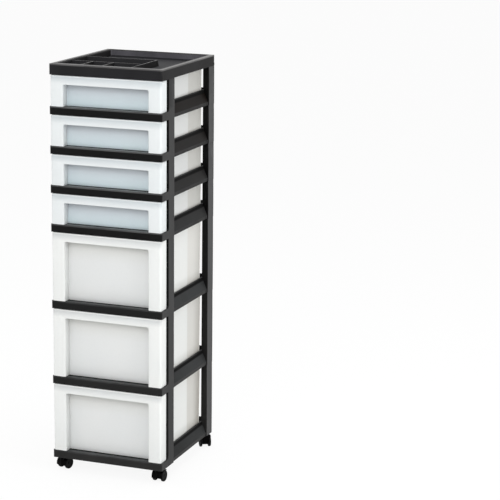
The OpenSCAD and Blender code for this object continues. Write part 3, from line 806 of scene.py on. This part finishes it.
@dataclass
class Drawer:
    """One drawer: a lofted tub behind a hollow front with soft edges.

    Attributes:
        number: Its place from the floor up, from 1.
        module: Deep or shallow.
        body: The body that it rides on.
        wall, skin: Thicknesses of the tub and of the front.
        stile: Width of the front's stiles.
        top_rail: Height of the front's top rail.
        recess: Depth of the panel behind the tower's front.
        wing: Depth of the front's side wings.
        tub_half: Half the tub's width.
        rim_drop: How far the tub's rim lies below the front's top.
        corner_r, wing_r: Radii of the front's upright corners and of its wings' rear ones.
        top_r, return_r: Radii along the front's top edge and along the stiles' inner edges.
        recess_r: Radius in the recess's top corners.
        side_r, rear_r: Radii along the tub's bottom, at its sides and at its rear.
        turn_r: Radius of the tub's rear corners at the outside.
        lean, lean_height: How far the rear wall leans in, and over which height.
        set_in, set_in_y: Depth of the set-in rear part of the sides, and where it begins.
        set_in_step, set_in_gap: Length of its end steps, and its distance from the rear corner.
        fold_r: Radius of the tub's front corners.
        least_r: Least radius of its rear corners.
        bead, bead_h: How far the rim's bead stands out, and how high it is.
        ease: Size of the small roundings on rim and bead.
        face_back: How far the front's face lies behind the tower's front.
        edge: Rounding of the front's other edges.
        edge_angle: Edges of the front sharper than this are rounded, in degrees.
        crease_angle: Edges sharper than this stay crisp in the shading, in degrees.
    """

    number: int
    module: Module
    body: str
    wall: float = 1.8 * MM
    skin: float = 2.1 * MM
    stile: float = 35 * MM
    top_rail: float = 23 * MM
    recess: float = 24 * MM
    wing: float = 36 * MM
    tub_half: float = 134.5 * MM
    rim_drop: float = 2 * MM
    corner_r: float = 5 * MM
    wing_r: float = 2.6 * MM
    top_r: float = 2.4 * MM
    return_r: float = 2.4 * MM
    recess_r: float = 4 * MM
    side_r: float = 8 * MM
    rear_r: float = 14 * MM
    turn_r: float = 5 * MM
    lean: float = 5 * MM
    lean_height: float = 176.2 * MM
    set_in: float = 0.7 * MM
    set_in_y: float = 38 * MM
    set_in_step: float = 0.6 * MM
    set_in_gap: float = 0.2 * MM
    fold_r: float = 1 * MM
    least_r: float = 2.5 * MM
    bead: float = 0.8 * MM
    bead_h: float = 3 * MM
    ease: float = 0.5 * MM
    face_back: float = 0.6 * MM
    edge: float = 0.4 * MM
    edge_angle: float = 60
    crease_angle: float = 35
    node: str = field(init=False)
    low: Vector = field(init=False)
    high: Vector = field(init=False)

    def __post_init__(self) -> None:
        """Takes the drawer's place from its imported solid."""
        self.node = f"drawer_{self.number}"
        self.low, self.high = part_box(self.node)

    @property
    def tower_front(self) -> float:
        """Front of the tower, from which the recess and the wings are measured."""
        return self.low.y - self.face_back

    @property
    def panel_y(self) -> float:
        """Front face of the recessed panel."""
        return self.tower_front + self.recess

    @property
    def tub_rear(self) -> float:
        """Rear face of the tub at its top."""
        return self.high.y - self.bead

    @property
    def rim_z(self) -> float:
        """Top edge of the tub."""
        return self.high.z - self.rim_drop

    def _lean_at(self, z: float) -> float:
        """Returns how far the rear wall has leant in at a height."""
        return self.lean * (self.rim_z - z) / self.lean_height

    def _tub_ring(self, shape: Shape, inset: float, z: float, out: float = 0.0,
                  set_in: float = 0.0, turn: float = 90.0) -> list[Vertex]:
        """Adds one closed ring of the tub's surface.

        Args:
            shape: The mesh that it goes into.
            inset: Distance inside the tub's outer surface.
            z: Height of the straight part, or of the floor where turn is below 90.
            out: How far it stands out, except at the front.
            set_in: How far the rear part of the sides lies in.
            turn: Angle round the bottom's rounding, 0 at the floor and 90 at the wall.

        Returns:
            The ring's vertices.
        """
        a = math.radians(turn)
        side, rear = self.side_r - inset, self.rear_r - inset
        in_side, in_rear = side * (1 - math.sin(a)), rear * (1 - math.sin(a))
        up_side, up_rear = side * (1 - math.cos(a)), rear * (1 - math.cos(a))
        lean = self._lean_at(z + (up_rear if turn < 90 else 0.0))
        front = self.panel_y + inset
        back = self.tub_rear - inset + out - lean - in_rear
        corner = max(self.turn_r - inset + out - min(in_side, in_rear), self.least_r)
        last = back - corner - self.set_in_gap
        stops = (self.set_in_y, self.set_in_y + self.set_in_step, last - self.set_in_step, last)
        plan = Plan(self.tub_half - inset + out - in_side, front, back, self.fold_r, corner, stops, set_in)
        ring = []
        for x, y in plan.loop():
            share = min(max((y - (back - corner)) / corner, 0.0), 1.0)
            rise = 0.0 if turn >= 90 else up_side + (up_rear - up_side) * share
            ring.append(shape.verts.new((x, y, z + rise)))
        return ring

    def tub(self, shape: Shape) -> None:
        """Adds the tub: floor, rounded walls, bead and rim, as one closed skin."""
        w, floor, rim, ease = self.wall, self.low.z, self.rim_z, self.ease
        low = floor + self.rear_r + ease
        high = rim - self.bead_h
        walls = ((0.0, low),
                 (0.0, low + self.set_in, 0.0, self.set_in),
                 (0.0, high - self.set_in - ease, 0.0, self.set_in),
                 (0.0, high - ease),
                 (0.0, high, ease / 2),
                 (0.0, high + ease / 2, self.bead),
                 (0.0, rim - ease, self.bead),
                 (0.0, rim - ease / 4, self.bead - ease / 3),
                 (0.0, rim, self.bead - ease),
                 (w - ease, rim),
                 (w - ease / 3, rim - ease / 4),
                 (w, rim - ease),
                 (w, low + w))
        rings = [self._tub_ring(shape, 0.0, floor, turn=turn) for turn in FLOOR_TURNS]
        rings += [self._tub_ring(shape, *ring) for ring in walls]
        rings += [self._tub_ring(shape, w, floor + w, turn=turn) for turn in reversed(FLOOR_TURNS)]
        shape.faces.new(list(reversed(rings[0])))
        for lower, upper in zip(rings, rings[1:]):
            count = len(lower)
            for k in range(count):
                n = (k + 1) % count
                shape.faces.new((lower[k], lower[n], upper[n], upper[k]))
        shape.faces.new(rings[-1])

    def _columns(self) -> list[Step]:
        """Returns the front's upright edges from above: a point and the way out.

        They run from the right wing's end round its corners to the face, and on
        from the face's left end to the left wing's end.
        """
        fx, fy, wy = self.high.x, self.low.y, self.tower_front + self.wing
        turns = [(wy - self.wing_r, self.wing_r, a) for a in reversed(quarter(4))]
        turns += [(fy + self.corner_r, self.corner_r, -a) for a in quarter(6)]
        right = [(Vector((self.tub_half - self.wall, wy, 0)), Vector((0, 1, 0)))]
        for y, r, a in turns:
            out = Vector((math.cos(a), math.sin(a), 0))
            right.append((Vector((fx - r, y, 0)) + r * out, out))
        return mirrored(right)

    def outer_skin(self, shape: Shape) -> list[Vertex]:
        """Adds the wings, the upright corners, the rounded top edge and the top.

        Args:
            shape: The mesh that they go into.

        Returns:
            The face's outer corners: right bottom, right top, left top, left bottom.
        """
        columns = self._columns()
        half = len(columns) // 2
        z0, zt = self.low.z, self.high.z - self.top_r
        rows = [(0.0, z0), (0.0, zt)]
        rows += [(self.top_r * (1 - math.cos(a)), zt + self.top_r * math.sin(a)) for a in quarter(5)[1:]]
        grid = [[shape.verts.new(point - inset * out + Vector((0, 0, z))) for point, out in columns]
                for inset, z in rows]
        for j, (lower, upper) in enumerate(zip(grid, grid[1:])):
            for k in range(len(columns) - 1):
                if j > 0 or k != half - 1:
                    shape.faces.new((lower[k + 1], lower[k], upper[k], upper[k + 1]))
        tx, ty = self.tub_half - self.wall, self.panel_y + self.wall
        inner = [shape.verts.new((x, ty, self.high.z)) for x in (tx, -tx)]
        shape.faces.new(list(reversed(grid[-1])) + inner)
        return [grid[0][half - 1], grid[1][half - 1], grid[1][half], grid[0][half]]

    def inner_skin(self, shape: Shape) -> list[Vertex]:
        """Adds the rounded lip round the recess and the stiles' walls behind it.

        Args:
            shape: The mesh that they go into.

        Returns:
            The lip's edge in the face, from the right bottom over the top to the left bottom.
        """
        fy, z0 = self.low.y, self.low.z
        rx, zc = self.high.x - self.stile, self.high.z - self.top_rail - self.recess_r
        right = [(Vector((rx, 0, z0)), Vector((1, 0, 0)))]
        for a in quarter(6):
            out = Vector((math.cos(a), 0, math.sin(a)))
            right.append((Vector((rx - self.recess_r, 0, zc)) + self.recess_r * out, out))
        path = mirrored(right)
        grid = [[shape.verts.new(point + self.return_r * (1 - math.sin(a)) * out
                                 + Vector((0, fy + self.return_r * (1 - math.cos(a)), 0)))
                 for point, out in path] for a in quarter(4)]
        back = [shape.verts.new(Vector((v.co.x, self.panel_y, v.co.z))) for v in grid[-1]]
        for outer, inner in zip(grid, grid[1:]):
            for k in range(len(path) - 1):
                shape.faces.new((outer[k], outer[k + 1], inner[k + 1], inner[k]))
        for k in (0, len(path) - 2):
            shape.faces.new((grid[-1][k], grid[-1][k + 1], back[k + 1], back[k]))
        for vert in back:
            if not vert.link_faces:
                shape.verts.remove(vert)
        return grid[0]

    def front(self, shape: Shape) -> None:
        """Adds the front's outer skin as an open sheet, with its edges rounded."""
        right_low, right_top, left_top, left_low = self.outer_skin(shape)
        lip = self.inner_skin(shape)
        shape.faces.new([right_low, right_top, left_top, left_low] + list(reversed(lip)))

    def braces(self, shape: Shape) -> None:
        """Adds the walls that run up behind the top rail, from the returns to the top."""
        front, x = self.low.y + self.skin / 2, self.high.x - self.stile + self.skin / 2
        low, high = self.high.z - self.top_rail - self.recess_r, self.high.z - self.skin / 2
        size = Matrix.Diagonal((self.skin, self.panel_y - front, high - low)).to_4x4()
        for s in (1, -1):
            centre = Vector((s * x, (front + self.panel_y) / 2, (low + high) / 2))
            bmesh.ops.create_cube(shape, size=1.0, matrix=Matrix.Translation(centre) @ size)

    def build(self) -> Piece:
        """Builds the drawer and puts it on its body.

        Returns:
            The drawer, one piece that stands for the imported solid.
        """
        shape = bmesh.new()
        self.front(shape)
        front = piece_from(shape, f"front_{self.number}")
        shell = front.modifiers.new("skin", "SOLIDIFY")
        shell.thickness = self.skin
        shell.offset = -1.0
        shell.use_even_offset = True
        soft = front.modifiers.new("soft_edges", "BEVEL")
        soft.width = self.edge
        soft.segments = 2
        soft.limit_method = "ANGLE"
        soft.angle_limit = math.radians(self.edge_angle)
        soft.use_clamp_overlap = False
        settle(front)
        shape = bmesh.new()
        shape.from_mesh(front.data)
        bpy.data.objects.remove(front)
        self.tub(shape)
        self.braces(shape)
        piece = piece_from(shape, f"{self.module.name.lower()}_drawer_{self.number}")
        piece.data.shade_smooth()
        piece.data.set_sharp_from_angle(angle=math.radians(self.crease_angle))
        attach(piece, self.body)
        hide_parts(self.node)
        return piece

    def dress(self, piece: Piece, white: Material) -> None:
        """Gives the built drawer its plastic."""
        paint(piece, white)


# ---------- frames, tray and casters


@dataclass
class Tower:
    """The seven frames and the tray, whose solids keep their shape.

    Attributes:
        nodes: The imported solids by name.
        frame_edge: Rounding of the frames' edges.
        tray_edge: Rounding of the tray's edges.
    """

    nodes: dict[str, Piece]
    frame_edge: float = 0.5 * MM
    tray_edge: float = 0.6 * MM

    def dress_frames(self, black: Material) -> None:
        """Softens the frames' edges and gives them their plastic."""
        for k in range(1, len(MODULES) + 1):
            piece = self.nodes[f"frame_{k}"]
            round_edges(piece, self.frame_edge)
            paint(piece, black)
            LOG.info("frame_%d dressed", k)

    def dress_tray(self, black: Material) -> None:
        """Softens the tray's edges and gives it its plastic."""
        round_edges(self.nodes["tray"], self.tray_edge)
        paint(self.nodes["tray"], black)
        LOG.info("tray dressed")


@dataclass
class Caster:
    """One caster: stem, hood, axle and two wheels.

    Attributes:
        nodes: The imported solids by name.
        corner: The corner that it stands under.
        edge: Rounding of the plastic parts' edges.
    """

    nodes: dict[str, Piece]
    corner: Corner
    edge: float = 0.3 * MM

    def dress(self, hood: Material, wheel: Material, steel: Material) -> None:
        """Softens the caster's edges and gives its pieces their finishes.

        Args:
            hood: Plastic of the hood.
            wheel: Plastic of the wheels and the axle.
            steel: Steel of the stem.
        """
        finishes = {"hood": hood, "wheel_a": wheel, "wheel_b": wheel, "axle": wheel, "stem": steel}
        for part, finish in finishes.items():
            piece = self.nodes[f"caster_{self.corner.value}_{part}"]
            round_edges(piece, self.edge)
            paint(piece, finish)
        LOG.info("caster %s dressed", self.corner.value)


# ---------- studio


@dataclass
class Softbox:
    """A soft rectangular lamp.

    Attributes:
        name: Name of the lamp.
        place: Where it hangs.
        target: What it points at.
        size: Its width and height.
        power: Its power in watts.
    """

    name: str
    place: Point
    target: Point
    size: Span
    power: float

    def build(self) -> None:
        """Builds the lamp."""
        data = bpy.data.lights.new(self.name, "AREA")
        data.shape = "RECTANGLE"
        data.size, data.size_y = self.size
        data.energy = self.power
        lamp = bpy.data.objects.new(self.name, data)
        lamp.location = self.place
        aim = Vector(self.target) - Vector(self.place)
        lamp.rotation_euler = aim.to_track_quat("-Z", "Y").to_euler()
        lamp.visible_camera = False
        bpy.context.scene.collection.objects.link(lamp)


@dataclass
class Studio:
    """Plain pale floor, even white surroundings and soft lamps.

    Attributes:
        ambient: Strength of the light from all round.
        floor_half: Half the floor's width.
        floor_tone: Colour of the floor.
        floor_cloud: How much darker its clouds are.
        floor_lift: Share of plain white in what the camera sees of the floor.
        lamps: The soft lamps.
    """

    ambient: float = 0.78
    floor_half: float = 30.0
    floor_tone: float = 0.86
    floor_cloud: float = 0.01
    floor_lift: float = 0.9
    lamps: tuple[Softbox, ...] = (
        Softbox("key", (0.5, -3.4, 2.7), (0, 0, 0.55), (2.4, 1.8), 56),
        Softbox("side", (3.0, -0.6, 1.5), (0, 0, 0.5), (1.6, 2.2), 36),
        Softbox("top", (0.2, 0.4, 3.0), (0, 0, 0.8), (1.8, 1.8), 24),
    )

    @staticmethod
    def _direct(bench: NodeBench) -> Socket:
        """Returns 1 for camera, glossy and transmission rays, else 0."""
        path = bench.add("LightPath")
        seen = bench.math("MAXIMUM", path.outputs["Is Camera Ray"], path.outputs["Is Glossy Ray"])
        return bench.math("MAXIMUM", seen, path.outputs["Is Transmission Ray"])

    def build_world(self) -> None:
        """Builds the surroundings: white to look at, softer as light."""
        world = bpy.data.worlds.new("studio")
        bpy.context.scene.world = world
        world.use_nodes = True
        bench = NodeBench.over(world.node_tree)
        level = bench.spread(self._direct(bench), 0.0, 1.0, self.ambient, 1.0)
        light = bench.add("Background", {"Color": (1, 1, 1, 1), "Strength": level})
        bench.add("OutputWorld", {"Surface": light.outputs[0]})

    def build_floor(self) -> None:
        """Builds the floor, white to look at but for the object's soft shadow."""
        shape = bmesh.new()
        bmesh.ops.create_grid(shape, x_segments=6, y_segments=6, size=self.floor_half)
        floor = piece_from(shape, "studio_floor")
        bench = NodeBench("pale_floor")
        cloud = self.floor_tone - self.floor_cloud
        tone = bench.blend(bench.noise(3.0, 2.0), (self.floor_tone,) * 3, (cloud,) * 3)
        matt = bench.add("BsdfDiffuse", {"Color": tone})
        white = bench.add("Emission", {"Color": (1, 1, 1, 1), "Strength": 1.0})
        share = bench.spread(self._direct(bench), 0, 1, 0, self.floor_lift)
        paint(floor, bench.close(bench.mix(share, matt, white)))

    def build(self) -> None:
        """Builds the whole studio."""
        self.build_world()
        self.build_floor()
        for lamp in self.lamps:
            lamp.build()
        LOG.info("studio built with %d lamps", len(self.lamps))


@dataclass(frozen=True)
class PhotoCamera:
    """The camera, at the photograph's viewing angle.

    Attributes:
        place: Where it stands.
        azimuth: Its turn round the tower, in degrees.
        elevation: Its height above the horizon, in degrees.
        roll: Its lean, in degrees.
        lens: Focal length in millimetres on a 36 mm sensor.
    """

    place: Point = (1.9287, -4.3546, 1.6476)
    azimuth: float = 20.2586
    elevation: float = 12.7916
    roll: float = 0.6865
    lens: float = 135.056

    def build(self) -> None:
        """Builds the camera and makes it the scene's."""
        a, e, t = (math.radians(v) for v in (self.azimuth, self.elevation, self.roll))
        back = Vector((math.sin(a) * math.cos(e), -math.cos(a) * math.cos(e), math.sin(e)))
        right = (-back).cross(Vector((0, 0, 1))).normalized()
        up = right.cross(-back)
        right, up = (math.cos(t) * right + math.sin(t) * up, math.cos(t) * up - math.sin(t) * right)
        data = bpy.data.cameras.new("photo_camera")
        data.lens = self.lens
        data.sensor_width = 36.0
        data.clip_end = 200.0
        camera = bpy.data.objects.new("photo_camera", data)
        turn = Matrix((right, up, back)).transposed().to_4x4()
        camera.matrix_world = Matrix.Translation(self.place) @ turn
        bpy.context.scene.collection.objects.link(camera)
        bpy.context.scene.camera = camera


# ---------- main


def main() -> None:
    """Builds and dresses the tower, then the studio and the camera."""
    logging.basicConfig(level=logging.INFO, format="%(name)s: %(message)s")
    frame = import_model()

    whites = {module: finish.material() for module, finish in DRAWER_WHITES.items()}
    for number, module in enumerate(MODULES, 1):
        body = f"{module.name.lower()}_drawer_{MODULES[:number].count(module)}"
        drawer = Drawer(number, module, body)
        piece = drawer.build()
        drawer.dress(piece, whites[module])
        LOG.info("%s built with %d faces", piece.name, len(piece.data.polygons))

    tower = Tower(frame["nodes"])
    tower.dress_frames(FRAME_BLACK.material())
    tower.dress_tray(TRAY_BLACK.material())

    hood, wheel, steel = HOOD_BLACK.material(), WHEEL_BLACK.material(), PIN_STEEL.material()
    for corner in Corner:
        Caster(frame["nodes"], corner).dress(hood, wheel, steel)

    Studio().build()
    PhotoCamera().build()
    bpy.context.scene.view_settings.view_transform = "Standard"


if __name__ == "__main__":
    main()
